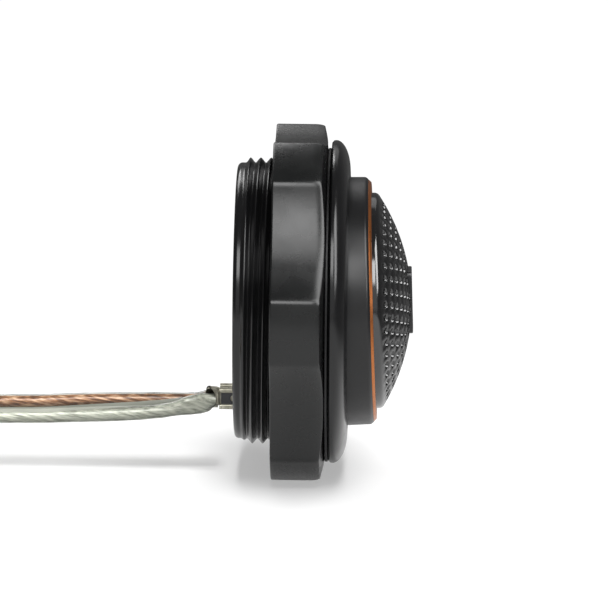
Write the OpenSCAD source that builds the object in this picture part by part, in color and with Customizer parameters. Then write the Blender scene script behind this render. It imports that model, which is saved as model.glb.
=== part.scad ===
// A flush-mount car tweeter: a threaded cup that clamps in a panel hole with a lobed nut, and a
// swivelling head with a perforated dome grille. Millimetres. The axis of the cup is X and the
// front is +X. The origin is on that axis, in the plane where the flange sits on the panel.

/* [Mounting cup] */
// Outside diameter of the thread, for a 48 mm panel hole
thread_d = 47.5; // [47:0.1:48]
// Depth of the thread, crest to root
thread_depth = 0.85; // [0.6:0.05:0.9]
// Lead of the thread for one turn
thread_pitch = 1.72; // [1.5:0.01:2]
// Length of the barrel behind the panel face
barrel_l = 15.6; // [15:0.1:17]
// Length of the plain band at the barrel's rear end
plain_band_l = 1.7; // [1:0.1:2]
// Radius of the flange
flange_r = 26.8; // [26.4:0.1:28]
// Height of the flange in front of the panel
flange_h = 3.06; // [3:0.02:3.2]
// Bore of the barrel, as a radius
bore_r = 22.03; // [22:0.01:22.1]
// Radius of the opening in the flange's front lip
lip_r = 21.25; // [21.2:0.05:21.4]

/* [Lock nut] */
// Radius over the nut's lobes
nut_r = 30.1; // [29.5:0.1:31]
// Thickness of the nut
nut_h = 8.78; // [8:0.02:9]
// Number of lobes
nut_lobes = 6; // [5:1:8]
// Angle that the top of a lobe takes
lobe_angle = 20; // [15:1:24]
// Depth of a scallop below the lobes, at its middle
scallop_depth = 3.23; // [2.5:0.01:3.4]
// Fall of a lobe's front face for each millimetre outward
nut_cone = 0.2; // [0.15:0.01:0.3]
// Radius of the nut's outer front edge
nut_edge_r = 0.9; // [0.6:0.1:1.4]

/* [Washer] */
// Outside radius of the clamp washer
washer_r = 26.05; // [25.8:0.05:26.3]
// Bore of the washer, as a radius
washer_bore_r = 24.35; // [24.1:0.05:24.4]
// Thickness of the washer
washer_t = 0.5; // [0.4:0.05:0.5]

/* [Head] */
// Nose-up tilt of the head in its stored pose
head_tilt = 2.05; // [0:0.05:5]
// Radius of the bezel where it leaves the flange
bezel_r = 20.65; // [20.4:0.05:20.65]
// Draft of the bezel's side, in degrees
bezel_draft = 2.1; // [1:0.1:3]
// Front face of the head's accent ring
head_front = 7.25; // [7:0.05:7.4]
// Chamfer at the bezel's front edge
bezel_chamfer = 0.85; // [0.8:0.05:1.1]
// Part of the chamfer that the accent ring takes
accent_t = 0.56; // [0.5:0.02:0.6]
// Diameter of a pivot pin
pin_d = 2; // [1.8:0.1:2.2]

/* [Grille] */
// Radius of the grille's rim
grille_r = 17.9; // [17.5:0.05:17.9]
// Radius of the grille's dome
dome_r = 33; // [31:0.5:36]
// Front of the dome
dome_front = 13.49; // [13.3:0.01:13.6]
// Thickness of the grille
grille_t = 0.8; // [0.7:0.05:0.9]
// Diameter of a sound hole
hole_d = 1.1; // [0.9:0.05:1.4]
// Distance between rings of holes along the dome
hole_pitch = 2.1; // [2:0.05:2.1]
// Number of rings of holes
hole_rings = 8; // [5:1:8]
// Angle from the top to the line where the rings of holes start
hole_start = 75; // [0:1:90]
// Height of the plain badge plate
badge_h = 10.5; // [9:0.1:11]
// Width of the plain badge plate
badge_w = 6.5; // [5:0.1:7]

/* [Speaker motor] */
// Diameter of the dome diaphragm
diaphragm_d = 20; // [19.8:0.1:20]
// Radius of the pole plate
pole_r = 9.6; // [9.3:0.05:9.65]
// Outside radius of the steel cup
yoke_r = 13.2; // [12.8:0.1:14]

/* [Lead] */
// Diameter of one insulated conductor
wire_d = 2.4; // [2.2:0.1:2.4]
// Distance between the two conductors of the twin lead
wire_gap = 2.5; // [2.4:0.05:2.6]
// Width of a terminal blade
blade_w = 2.8; // [2.6:0.1:2.8]
// Thickness of a terminal blade
blade_t = 0.5; // [0.45:0.05:0.5]
// Distance between the two terminals
blade_gap = 3.6; // [3.4:0.1:5]
// Turns in the stored coil
coil_turns = 2; // [1:1:2]
// Radius of the coil's outer turn
coil_r = 28; // [27:0.5:29]
// Step of the coil inward at each turn
coil_step = 3.2; // [3:0.1:3.4]

/* [Hidden] */
$fn = 64;

thread_r = thread_d / 2;
root_r = thread_r - thread_depth;
fit = 0.03;

// The swivel: the pivot is the origin, the head's rear half is a ball about it
ball_r = 20.76;
bezel_rear = 2.45;
ring_in = ball_r + 0.16;
ring_out = bore_r - fit;
ring_front = 1.98;
ring_rear = -3;
lip_rear = ring_front + 0.07;
shell_rear = -6.5;
shell_t = 1.45;
plate_front = -11.6;
plate_t = 1.5;

// The head's stack, from the front
bezel_side = head_front - bezel_chamfer - 0.03;
accent_rear = head_front - accent_t;
rim_seat = 5.6;
shelf_rear = 4.4;
frame_rear = 2.8;
dome_c = dome_front - dome_r;
pole_rear = 0.8;
magnet_rear = -2.6;
yoke_rear = -4.6;
gap_r = pole_r + 1.05;
former_r = diaphragm_d / 2 - 0.15;

// The terminals, low on the rear plate
blade_z = -16.3;
blade_end = -18;
crimp_end = -20;

// The surface that the nut's two lower lobes stand on, and the coil on its tie
floor_z = -nut_r * cos(30 - lobe_angle / 2);
tie_t = 0.3;
coil_z = floor_z + tie_t + (wire_gap + wire_d) / 2;

// The lead leaves the terminals, drops to the surface and turns once toward the coil
lead_turn_r = 20;
lead_turn_x = -56;
lead_turn = acos(lead_turn_r / (lead_turn_r + coil_r));
coil_x = lead_turn_x - (lead_turn_r + coil_r) * sin(lead_turn);
lead_points = [
    [-22.4, 0, -17.3], [-24, 0, -17.52], [-26, 0, -17.76], [-28, 0, -17.95], [-30, 0, -18.05],
    [-32, 0, -18.2], [-36, 0, -18.35], [-42, 0, -18.55], [-48, 0, -18.8], [-54, 0, -18.9]
];
lead_twist = [27, 32, 40, 47, 51, 55, 64, 80, 90];
lead_drop_z = -19;
lead_steps = 6;
entry_steps = 3;
coil_from = 24;
coil_to = coil_from + 360 * coil_turns;
loop_rings = 24;

function arc(c, r, from, to, n) =
    [for (i = [0:n]) let (a = from + (to - from) * i / n) c + [r[0] * cos(a), r[1] * sin(a)]];
function smooth(t) = t * t * (3 - 2 * t);

// A solid of revolution about X, from points of radius and place along X
module turned(points) {
    rotate([0, 90, 0]) rotate_extrude($fn = 96) polygon(points);
}

module ring_x(r_in, r_out, x0, x1) {
    turned([[r_in, x0], [r_out, x0], [r_out, x1], [r_in, x1]]);
}

module disc_x(r, x0, x1) {
    translate([x0, 0, 0]) rotate([0, 90, 0]) cylinder(r = r, h = x1 - x0);
}

module bar_y(r, y0, y1) {
    translate([0, y0, 0]) rotate([-90, 0, 0]) cylinder(r = r, h = y1 - y0);
}

module bar_between(a, b, r) {
    d = b - a;
    l = norm(d);
    translate(a) rotate([0, acos(d[2] / l), atan2(d[1], d[0])]) cylinder(r = r, h = l);
}

module tilted() {
    rotate([0, -head_tilt, 0]) children();
}

// A conductor's section or, with a gap, that of the flat twin lead, and a tube of it swept along
// rings of [centre, heading, twist]
function wire_section(gap, n) =
    let (r = wire_d / 2 / cos(180 / n))
    [for (i = [0:n - 1])
        let (a = 360 * (i + 0.5) / n)
        [(sin(a) > 0 ? 1 : -1) * gap / 2 + r * sin(a), r * cos(a)]];
function twin_axis(heading, twist) =
    let (side = [-heading[1], heading[0], 0] / norm([heading[0], heading[1]]))
    cross(heading, side) * sin(twist) - side * cos(twist);
function ring_points(ring, section) =
    let (major = twin_axis(ring[1], ring[2]), minor = cross(major, ring[1]))
    [for (s = section) ring[0] + major * s[0] + minor * s[1]];
function headings(p) =
    let (m = len(p) - 1)
    [for (i = [0:m]) let (d = p[min(i + 1, m)] - p[max(i - 1, 0)]) d / norm(d)];

module swept(rings, section) {
    n = len(section);
    last = (len(rings) - 1) * n;
    points = [for (r = rings) each ring_points(r, section)];
    sides = [
        for (i = [0:n:last - n], k = [0:n - 1])
            let (a = i + k, b = i + (k + 1) % n)
            each [[a, a + n, b], [b, a + n, b + n]]
    ];
    ends = [for (k = [1:n - 2]) each [[0, k, k + 1], [last, last + k + 1, last + k]]];
    polyhedron(points, concat(sides, ends));
}

// The coil is one flat spiral, drawn in at its free end to clear its own turns
function coil_inward(a) =
    coil_step * a / 360 + 3 * pow(max(0, a - coil_to + 60) / 60, 2);
function coil_point(a) =
    let (r = coil_r - coil_inward(a))
    [coil_x + r * sin(lead_turn - a), r * cos(lead_turn - a), coil_z];
coil_points = [
    for (i = [0:loop_rings * coil_turns]) coil_point(coil_from + 360 * i / loop_rings)
];
coil_heads = headings(coil_points);

// The lead follows its own points, then the turn toward the coil and the coil's first degrees
turn_points = [
    for (i = [1:lead_steps])
        let (a = lead_turn * i / lead_steps)
        [lead_turn_x - lead_turn_r * sin(a), lead_turn_r * (1 - cos(a)), 0]
];
entry_points = [for (i = [1:entry_steps]) coil_point(coil_from * i / entry_steps)];
drop_points = concat(turn_points, entry_points);
lead_route = concat(
    lead_points,
    [for (i = [0:len(drop_points) - 1])
        let (p = drop_points[i])
        [p[0], p[1], lead_drop_z + (coil_z - lead_drop_z) * smooth((i + 1) / len(drop_points))]]
);
lead_heads = headings(lead_route);
lead_last = len(lead_route) - 1;

module mounting_cup() {
    color("#26272a") turned(concat(
        [[bore_r, lip_rear], [bore_r, -barrel_l]],
        arc([root_r - 0.75, 0.75 - barrel_l], [0.75, 0.75], -90, 0, 6),
        [
            [root_r, plain_band_l - barrel_l],
            [thread_r, plain_band_l - barrel_l + thread_depth],
            [thread_r, -0.9],
            [root_r, -0.9 + thread_depth / 2],
            [root_r, 0],
            [flange_r - 0.4, 0],
            [flange_r - 0.05, 0.3]
        ],
        arc([21.8, 0.65], [flange_r - 21.8, flange_h - 0.65], 0, 90, 14),
        arc([21.8, flange_h - 21.8 + lip_r], [21.8 - lip_r, 21.8 - lip_r], 105, 180, 4),
        [[lip_r, lip_rear]]
    ));
}

// The sleeve behind the aim ring keeps it against the flange's lip
module ring_sleeve() {
    color("#2a2b2e") ring_x(ball_r + 0.2, ring_out, plate_front, ring_rear - 0.06);
}

module rear_plate() {
    color("#222326") difference() {
        union() {
            disc_x(ring_out, plate_front - plate_t, plate_front);
            ring_x(ring_out - 1.6, ring_out, plate_front - plate_t - 0.6, plate_front - plate_t);
        }
        for (side = [-1, 1]) blade_prism(side);
    }
}

module blade_prism(side) {
    translate([blade_end, side * blade_gap / 2 - blade_t / 2, blade_z - blade_w / 2])
        cube([7.6, blade_t, blade_w]);
}

module terminal_tab(side) {
    color("#3a3a3c") difference() {
        blade_prism(side);
        translate([blade_end + 2.1, 0, blade_z]) bar_y(0.6, -20, 20);
    }
}

module terminal_tab_1() terminal_tab(-1);
module terminal_tab_2() terminal_tab(1);

// A spade receptacle: a flat back with two rolled edges over the blade, and a crimp on the wire
module receptacle(side) {
    curl_r = 0.5;
    back = blade_t / 2 + 0.3;
    curl = [back - curl_r, blade_w / 2 - 0.05];
    color("#c9c8c2") translate([0, side * blade_gap / 2, blade_z]) {
        difference() {
            union() {
                translate([-13.3, 0, 0]) rotate([90, 0, -90]) linear_extrude(height = 4.9) difference() {
                    union() {
                        for (v = [-1, 1]) translate([-curl[0], v * curl[1]]) circle(r = curl_r);
                        translate([-back, -curl[1]]) square([0.3, 2 * curl[1]]);
                    }
                    for (v = [-1, 1]) translate([-curl[0], v * curl[1]]) circle(r = curl_r - 0.3);
                    square([blade_t, blade_w + 0.04], center = true);
                }
                translate([-18.7, back - 0.3, -1.3]) cube([0.6, 0.3, 2.6]);
                ring_x(wire_d / 2 - 0.1, wire_d / 2 + 0.3, crimp_end, -18.4);
            }
            disc_x(wire_d / 2, crimp_end - 1, -18.4);
        }
    }
}

module receptacle_1() receptacle(-1);
module receptacle_2() receptacle(1);

// One insulated conductor, from its crimp to where the twin lead splits
module lead_tail(side) {
    a = [-18.4, side * blade_gap / 2, blade_z];
    b = [crimp_end - 0.4, a[1], a[2]];
    c = lead_route[0] + side * wire_gap / 2 * twin_axis([-1, 0, 0], lead_twist[0]);
    bend = [for (t = [0.25:0.25:1]) [for (k = [0:2]) b[k] + (c[k] - b[k]) * (k == 0 ? t : smooth(t))]];
    color(side < 0 ? "#b9bab0" : "#b98a62")
        swept([for (p = concat([a, b], bend)) [p, [-1, 0, 0], 90]], wire_section(0, 8));
}

module lead_tail_1() lead_tail(-1);
module lead_tail_2() lead_tail(1);

module lead() {
    color("#c2b3a0") swept([
        for (i = [0:lead_last]) [
            lead_route[i],
            i == 0 ? [-1, 0, 0] : i == lead_last ? coil_heads[0] : lead_heads[i],
            i < len(lead_twist) ? lead_twist[i] : 90
        ]
    ], wire_section(wire_gap, 8));
}

module lead_coil() {
    rings = [for (i = [0:len(coil_points) - 1]) [coil_points[i], coil_heads[i], 90]];
    color("#c2b3a0") swept(rings, wire_section(wire_gap, 8));
}

// The least gap between turns of the coil, half a turn or more apart
coil_gap = min([
    for (i = [0:len(coil_points) - 1], k = [i + loop_rings / 2:1:len(coil_points) - 1])
        norm(coil_points[i] - coil_points[k]) - wire_d
]);
echo(least_gap_of_the_coil = coil_gap);

module coil_tie() {
    tie_w = 2.5;
    at = lead_turn + 90;
    outer = coil_r - coil_inward(at) + wire_d / 2 + 0.12;
    inner = coil_r - coil_inward(at + 360 * (coil_turns - 1)) - wire_d / 2 - 0.35;
    tall = wire_gap + wire_d + 0.05;
    color("#2b2b2b") translate([coil_x - outer, -tie_w / 2, floor_z]) difference() {
        translate([-tie_t, 0, 0]) cube([outer - inner + 2 * tie_t, tie_w, tall + 2 * tie_t]);
        translate([0, -1, tie_t]) cube([outer - inner, tie_w + 2, tall]);
    }
}

module bare_end(side, shade) {
    last = len(coil_points) - 1;
    a = coil_points[last] + [0, 0, side * wire_gap / 2];
    color(shade) bar_between(a, a + 8 * coil_heads[last], 0.6);
}

module bare_end_1() bare_end(-1, "#c8c8c0");
module bare_end_2() bare_end(1, "#b4693c");

// The washer is loose on the thread and hangs on it
module clamp_washer() {
    color("#17181a") translate([0, 0, thread_r - washer_bore_r + 0.02])
        ring_x(washer_bore_r, washer_r, -0.1 - washer_t, -0.1);
}

module lock_nut() {
    front = -0.65;
    bore = thread_r + 0.1;
    flat_r = nut_r - scallop_depth;
    rear = front - nut_h;
    cone = atan(nut_cone);
    edge_c = nut_r - nut_edge_r;
    edge_x = front - nut_cone * (edge_c - flat_r) - nut_edge_r / cos(cone);
    half = 180 / nut_lobes - lobe_angle / 2;
    chord = nut_r * sin(half);
    rise = nut_r * cos(half) - nut_r + scallop_depth;
    cut_r = (chord * chord + rise * rise) / (2 * rise);
    color("#333538") difference() {
        turned(concat(
            [[bore + 0.5, rear], [nut_r - 0.3, rear], [nut_r, rear + 0.3]],
            arc([edge_c, edge_x], [nut_edge_r, nut_edge_r], 0, 90 - cone, 6),
            [[flat_r, front], [bore + 0.5, front], [bore, front - 0.5], [bore, rear + 0.5]]
        ));
        for (i = [0:nut_lobes - 1])
            rotate([360 / nut_lobes * i, 0, 0])
                translate([0, 0, nut_r - scallop_depth + cut_r])
                    disc_x(cut_r, rear - 1, front + 1);
    }
}

// The aim ring turns in the barrel and carries the head on two pins. Its front edge is cut back for
// the bezel's side when the head is tilted
module aim_ring() {
    color("#303236") difference() {
        turned([
            [ring_in, ring_rear], [ring_out, ring_rear], [ring_out, ring_front],
            [ring_in + 0.4, ring_front], [ring_in, 0.4]
        ]);
        bar_y(pin_d / 2 + fit, -ring_out - 1, ring_out + 1);
    }
}

module pivot_pin_1() color("#b5b5b0") bar_y(pin_d / 2, 0.12 - ring_out, -17.8);
module pivot_pin_2() color("#b5b5b0") bar_y(pin_d / 2, 17.8, ring_out - 0.12);

module head_shell() {
    inner = ball_r - shell_t;
    from = asin(shell_rear / ball_r);
    to = asin(bezel_rear / ball_r);
    back = shell_rear + 1.2;
    color("#27282b") tilted() difference() {
        union() {
            turned(concat(
                [[0, back], [0, shell_rear]],
                arc([0, 0], [ball_r, ball_r], from, to, 12),
                arc([0, 0], [inner, inner], asin(bezel_rear / inner), asin(back / inner), 10)
            ));
            for (side = [0, 180]) rotate([0, 0, side]) bar_y(2.4, 17.8, ball_r - 0.6);
        }
        bar_y(pin_d / 2, -30, 30);
    }
}

function side_r(x) = bezel_r - (x - flange_h) * tan(bezel_draft);

module bezel() {
    r = side_r(bezel_side);
    color("#2b2c2f") tilted() turned([
        [sqrt(ball_r * ball_r - bezel_rear * bezel_rear), bezel_rear],
        [r, bezel_side - 0.25],
        [r - 0.08, bezel_side - 0.02],
        [r - (accent_rear - bezel_side), accent_rear],
        [grille_r + 0.05, accent_rear],
        [grille_r + 0.05, rim_seat],
        [16, rim_seat],
        [16, shelf_rear],
        [19.3, shelf_rear],
        [19.3, bezel_rear]
    ]);
}

module accent_ring() {
    r = side_r(bezel_side);
    color("#c8692d") tilted() turned([
        [grille_r + 0.05, accent_rear],
        [r - (accent_rear - bezel_side), accent_rear],
        [r - (head_front - bezel_side) + 0.05, head_front - 0.05],
        [r - (head_front - bezel_side) - 0.1, head_front],
        [grille_r + 0.05, head_front]
    ]);
}

// A perforated dome on a plain rim. The holes point at the centre of the dome, in rings of six more
// each that all start on one line
module grille() {
    shoulder = 1;
    at = asin((grille_r - shoulder) / (dome_r - shoulder));
    shoulder_c = [grille_r - shoulder, dome_c + (dome_r - shoulder) * cos(at)];
    edge = dome_r * [sin(at), cos(at)] + [0, dome_c];
    color("#141415") tilted() difference() {
        rotate([0, 90, 0]) rotate_extrude($fn = 180) difference() {
            union() {
                translate([0, rim_seat]) square([grille_r, shoulder_c[1] - rim_seat]);
                translate([0, shoulder_c[1] - 0.1]) square([shoulder_c[0], 0.1]);
                intersection() {
                    translate(shoulder_c) circle(r = shoulder, $fn = 96);
                    translate([0, rim_seat]) square([30, 20]);
                }
                intersection() {
                    translate([0, dome_c]) circle(r = dome_r, $fn = 360);
                    translate([0, shoulder_c[1] - 0.1]) square([edge[0], 20]);
                }
            }
            intersection() {
                translate([0, dome_c]) circle(r = dome_r - grille_t, $fn = 360);
                translate([-1, rim_seat - 1]) square([1 + grille_r - grille_t, 20]);
            }
        }
        badge_outline();
        for (k = [1:hole_rings], i = [0:6 * k - 2])
            sound_hole(k * hole_pitch / dome_r * 180 / PI, hole_start + 360 * i / (6 * k - 1));
    }
}

module sound_hole(lean, turn) {
    out = dome_r * sin(lean);
    clear = hole_d / 2 + 0.15;
    if (abs(out * cos(turn)) > badge_h / 2 + clear || abs(out * sin(turn)) > badge_w / 2 + clear)
        translate([dome_c, 0, 0])
            rotate([turn, 0, 0])
                rotate([0, -lean, 0])
                    disc_x(hole_d / 2, dome_r - 2, dome_r + 1);
}

module badge_outline() {
    corner = 1;
    translate([8, 0, 0]) rotate([90, 0, 90]) linear_extrude(height = 8) difference() {
        square([badge_w, badge_h], center = true);
        for (u = [-1, 1], v = [-1, 1])
            translate([u * badge_w / 2, v * badge_h / 2]) difference() {
                square(2 * corner, center = true);
                translate([-u * corner, -v * corner]) circle(r = corner);
            }
    }
}

module badge() {
    color("#202022") tilted() difference() {
        intersection() {
            badge_outline();
            disc_x(10, 8, dome_front + 0.11);
        }
        translate([dome_c, 0, 0]) sphere(r = dome_r - grille_t, $fn = 360);
    }
}

module diaphragm_frame() {
    color("#1c1c1e") tilted() ring_x(gap_r, 19.2, frame_rear, shelf_rear);
}

// A half roll of rubber, bonded to the frame, round the edge of the dome
module surround() {
    roll = 0.75;
    mid = diaphragm_d / 2 + 0.45 + roll;
    t = 0.25;
    color("#101010") tilted() turned(concat(
        [[mid + roll + 1, shelf_rear], [mid + roll + 1, shelf_rear + t]],
        arc([mid, shelf_rear + t], [roll, roll], 0, 180, 8),
        [[mid - roll, shelf_rear]],
        [[mid - roll + t, shelf_rear]],
        arc([mid, shelf_rear + t], [roll - t, roll - t], 180, 0, 8),
        [[mid + roll - t, shelf_rear]]
    ));
}

module yoke_cup() {
    color("#8d8f90") tilted() turned([
        [0, yoke_rear], [yoke_r - 0.5, yoke_rear], [yoke_r, yoke_rear + 0.5], [yoke_r, frame_rear],
        [gap_r, frame_rear], [gap_r, magnet_rear], [0, magnet_rear]
    ]);
}

module magnet() {
    color("#77797b") tilted() disc_x(pole_r - 0.6, magnet_rear, pole_rear);
}

module pole_plate() {
    color("#9a9c9d") tilted() disc_x(pole_r, pole_rear, frame_rear);
}

module damping_pad() {
    color("#3c3a36") tilted() disc_x(yoke_r - 1.2, shell_rear + 1.2, yoke_rear);
}

module dome() {
    rise = 4.4;
    edge = diaphragm_d / 2;
    r = (edge * edge + rise * rise) / (2 * rise);
    c = shelf_rear + rise - r;
    t = 0.25;
    color("#1a1a1c") tilted() turned(concat(
        [[edge - 0.6, shelf_rear], [edge + 0.3, shelf_rear], [edge + 0.3, shelf_rear + t]],
        arc([0, c], [r, r], asin((shelf_rear + t - c) / r), 90, 14),
        arc([0, c], [r - t, r - t], 90, asin((shelf_rear + 0.1 - c) / (r - t)), 14)
    ));
}

module coil_former() {
    color("#c7a15a") tilted() ring_x(former_r, former_r + 0.12, 0.3, shelf_rear);
}

module voice_coil() {
    color("#b4693c") tilted() ring_x(former_r + 0.12, former_r + 0.5, 0.8, frame_rear);
}

mounting_cup();
ring_sleeve();
rear_plate();
terminal_tab_1();
terminal_tab_2();
receptacle_1();
receptacle_2();
lead_tail_1();
lead_tail_2();
lead();
lead_coil();
coil_tie();
bare_end_1();
bare_end_2();
clamp_washer();
lock_nut();
aim_ring();
pivot_pin_1();
pivot_pin_2();
head_shell();
bezel();
accent_ring();
grille();
badge();
diaphragm_frame();
surround();
yoke_cup();
magnet();
pole_plate();
damping_pad();
dome();
coil_former();
voice_coil();
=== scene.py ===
import math

import bmesh
import bpy
import numpy as np
from mathutils import Matrix, Vector
from mathutils.geometry import delaunay_2d_cdt


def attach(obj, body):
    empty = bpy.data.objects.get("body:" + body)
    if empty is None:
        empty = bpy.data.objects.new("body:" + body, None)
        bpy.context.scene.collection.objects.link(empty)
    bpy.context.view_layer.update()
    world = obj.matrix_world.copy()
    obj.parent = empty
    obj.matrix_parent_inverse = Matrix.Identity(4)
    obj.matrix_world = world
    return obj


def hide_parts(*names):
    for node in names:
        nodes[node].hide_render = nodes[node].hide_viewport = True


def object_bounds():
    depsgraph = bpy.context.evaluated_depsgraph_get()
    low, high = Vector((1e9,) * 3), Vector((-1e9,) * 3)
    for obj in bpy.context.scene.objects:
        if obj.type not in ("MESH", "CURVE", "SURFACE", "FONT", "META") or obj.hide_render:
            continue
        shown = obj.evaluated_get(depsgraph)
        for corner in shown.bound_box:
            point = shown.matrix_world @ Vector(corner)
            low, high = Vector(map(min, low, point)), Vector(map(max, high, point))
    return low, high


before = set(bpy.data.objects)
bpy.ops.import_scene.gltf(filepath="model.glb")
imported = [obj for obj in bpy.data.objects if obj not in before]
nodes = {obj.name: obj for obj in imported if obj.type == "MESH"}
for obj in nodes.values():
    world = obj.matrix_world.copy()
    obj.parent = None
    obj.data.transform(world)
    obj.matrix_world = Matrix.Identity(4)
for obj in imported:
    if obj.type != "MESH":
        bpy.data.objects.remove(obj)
cad_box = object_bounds()
MM = 0.001

# Camera. The photograph looks at the side of the tweeter from slightly above, with a long lens.
# Sizes in the image are pixels of its 608 pixel frame.
IMAGE_PX = 608
SENSOR_MM = 36
FOCAL_PX = 5500
PX_PER_MM = 6.02
AZIMUTH, ELEVATION, ROLL = math.radians(1.1), math.radians(10.4), math.radians(0.55)
AIM_MM = Vector((-4.4, 0, -0.5))
CLIP_M = 10

camera = bpy.data.objects.new("camera", bpy.data.cameras.new("camera"))
bpy.context.scene.collection.objects.link(camera)
camera.data.sensor_width = SENSOR_MM
camera.data.lens = SENSOR_MM * FOCAL_PX / IMAGE_PX
camera.data.clip_end = CLIP_M
toward = Vector((
    math.sin(AZIMUTH) * math.cos(ELEVATION),
    -math.cos(AZIMUTH) * math.cos(ELEVATION),
    math.sin(ELEVATION),
))
camera.location = (AIM_MM + toward * FOCAL_PX / PX_PER_MM) * MM
camera.rotation_mode = "QUATERNION"
level = toward.to_track_quat("Z", "Y")
camera.rotation_quaternion = level @ Matrix.Rotation(ROLL, 3, "Z").to_quaternion()
bpy.context.scene.camera = camera
bpy.context.scene.view_settings.view_transform = "Standard"


# Lead. A clear soft sheath extruded over two conductors, one of tinned and one of bare copper strands.
# It leaves the terminals with its conductors side by side, turns on edge, drops to the floor and lies
# there in a flat coil. Its route is the solid's, in millimetres, but its twist starts flatter.
WIRE_D, WIRE_GAP, TIE_T = 2.4, 2.5, 0.3
FLOOR_Z = cad_box[0][2] / MM
COIL_Z = FLOOR_Z + TIE_T + (WIRE_GAP + WIRE_D) / 2
COIL_R, COIL_STEP, COIL_TURNS, COIL_FROM = 28, 3.2, 2, 24
COIL_TO = COIL_FROM + 360 * COIL_TURNS
TUCK, TUCK_DEGREES = 3, 60
TURN_R, TURN_X = 20, -56
TURN = math.degrees(math.acos(TURN_R / (TURN_R + COIL_R)))
COIL_X = TURN_X - (TURN_R + COIL_R) * math.sin(math.radians(TURN))
LEAD_POINTS = [
    (-22.4, 0, -17.3), (-24, 0, -17.52), (-26, 0, -17.76), (-28, 0, -17.95), (-30, 0, -18.05),
    (-32, 0, -18.2), (-36, 0, -18.35), (-42, 0, -18.55), (-48, 0, -18.8), (-54, 0, -18.9),
]
LEAD_TWIST = [8, 14, 26, 38, 46, 53, 64, 80, 90]
DROP_Z = -19


def smooth(t):
    """A rise from 0 to 1 with soft ends."""
    t = np.clip(t, 0, 1)
    return t * t * (3 - 2 * t)


def coil_inward(a):
    """How far in the coil has come at an angle, with its end tucked in further."""
    return COIL_STEP * a / 360 + TUCK * (max(0, a - COIL_TO + TUCK_DEGREES) / TUCK_DEGREES) ** 2


def coil_point(a):
    """A place on the coil's centreline."""
    r, turned = COIL_R - coil_inward(a), math.radians(TURN - a)
    return COIL_X + r * math.sin(turned), r * math.cos(turned), COIL_Z


def spline(points, per):
    """A smooth curve through the points, with this many steps between each two."""
    p = np.asarray(points, float)
    p = np.vstack([2 * p[0] - p[1], p, 2 * p[-1] - p[-2]])
    t = np.arange(per)[:, None] / per
    parts = [
        ((2 * b + t * (c - a) + t**2 * (2 * a - 5 * b + 4 * c - d) + t**3 * (3 * b - a - 3 * c + d)) / 2)
        for a, b, c, d in zip(p, p[1:], p[2:], p[3:])
    ]
    return np.vstack([*parts, p[-2:-1]])


def lead_route(turn_steps=6, entry_steps=3, ring_degrees=7.5, per=4):
    """The lead's centreline, with its twist as a fourth number."""
    turn = [math.radians(TURN * i / turn_steps) for i in range(1, turn_steps + 1)]
    drop = [(TURN_X - TURN_R * math.sin(a), TURN_R * (1 - math.cos(a))) for a in turn]
    drop += [coil_point(COIL_FROM * i / entry_steps)[:2] for i in range(1, entry_steps + 1)]
    fall = [
        (x, y, DROP_Z + (COIL_Z - DROP_Z) * smooth(i / len(drop)))
        for i, (x, y) in enumerate(drop, 1)
    ]
    coil = [coil_point(a) for a in np.arange(COIL_FROM + ring_degrees, COIL_TO + 1, ring_degrees)]
    route = [*LEAD_POINTS, *fall, *coil]
    twist = LEAD_TWIST + [90] * (len(route) - len(LEAD_TWIST))
    return spline([(*p, t) for p, t in zip(route, twist)], per)


def headings(path):
    """The way that a path goes at each of its points."""
    d = np.gradient(path, axis=0)
    return d / np.linalg.norm(d, axis=1)[:, None]


def new_piece(name, points_mm, faces, body, sharp=35):
    """A mesh in millimetres that rides on a body, smooth apart from edges sharper than an angle."""
    mesh = bpy.data.meshes.new(name)
    points = [tuple(p) for p in np.asarray(points_mm, float) * MM]
    mesh.from_pydata(points, [], [tuple(f) for f in faces])
    b = bmesh.new()
    b.from_mesh(mesh)
    bmesh.ops.remove_doubles(b, verts=b.verts, dist=1e-7)
    bmesh.ops.dissolve_degenerate(b, edges=b.edges, dist=1e-8)
    bmesh.ops.recalc_face_normals(b, faces=b.faces)
    for f in b.faces:
        f.smooth = True
    for e in b.edges:
        e.smooth = e.calc_face_angle(0) < math.radians(sharp)
    b.to_mesh(mesh)
    b.free()
    piece = bpy.data.objects.new(name, mesh)
    bpy.context.scene.collection.objects.link(piece)
    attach(piece, body)
    return piece


def grid_faces(rows, columns, wrap=True):
    """Quads between rows of points, each row a ring."""
    gaps = columns if wrap else columns - 1
    r, c = np.meshgrid(np.arange(rows - 1), np.arange(gaps), indexing="ij")
    a, b = r * columns + c, r * columns + (c + 1) % columns
    return np.stack([a, b, b + columns, a + columns], -1).reshape(-1, 4).tolist()


def across(path, twist):
    """The twin axis and the way across it, at each point of a path."""
    h = headings(path)
    side = np.stack([-h[:, 1], h[:, 0], 0 * h[:, 0]], 1)
    side /= np.linalg.norm(side, axis=1)[:, None]
    up, t = np.cross(h, side), np.radians(twist)[:, None]
    major = up * np.sin(t) - side * np.cos(t)
    return major, np.cross(major, h)


def swept(name, path, twist, sections, body, caps=(True, True)):
    """A tube whose section, as places along the twin axis and across it, may change along the path."""
    major, minor = across(path, twist)
    sections = np.broadcast_to(sections, (len(path), *np.shape(sections)[-2:]))
    rings = path[:, None] + major[:, None] * sections[..., :1] + minor[:, None] * sections[..., 1:]
    n = rings.shape[1]
    last = (len(path) - 1) * n
    ends = [list(range(n)), list(range(last + n - 1, last - 1, -1))]
    faces = grid_faces(len(path), n) + [end for end, shut in zip(ends, caps) if shut]
    return new_piece(name, rings.reshape(-1, 3), faces, body)


def lobe(degrees, squash):
    """One sheath's outline about its own middle, taller and narrower where it is squashed."""
    a = np.radians(degrees)
    k = np.asarray(squash)[:, None]
    return WIRE_D / 2 * np.stack([np.sin(a) / np.sqrt(k), np.cos(a) * k], -1)


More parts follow.
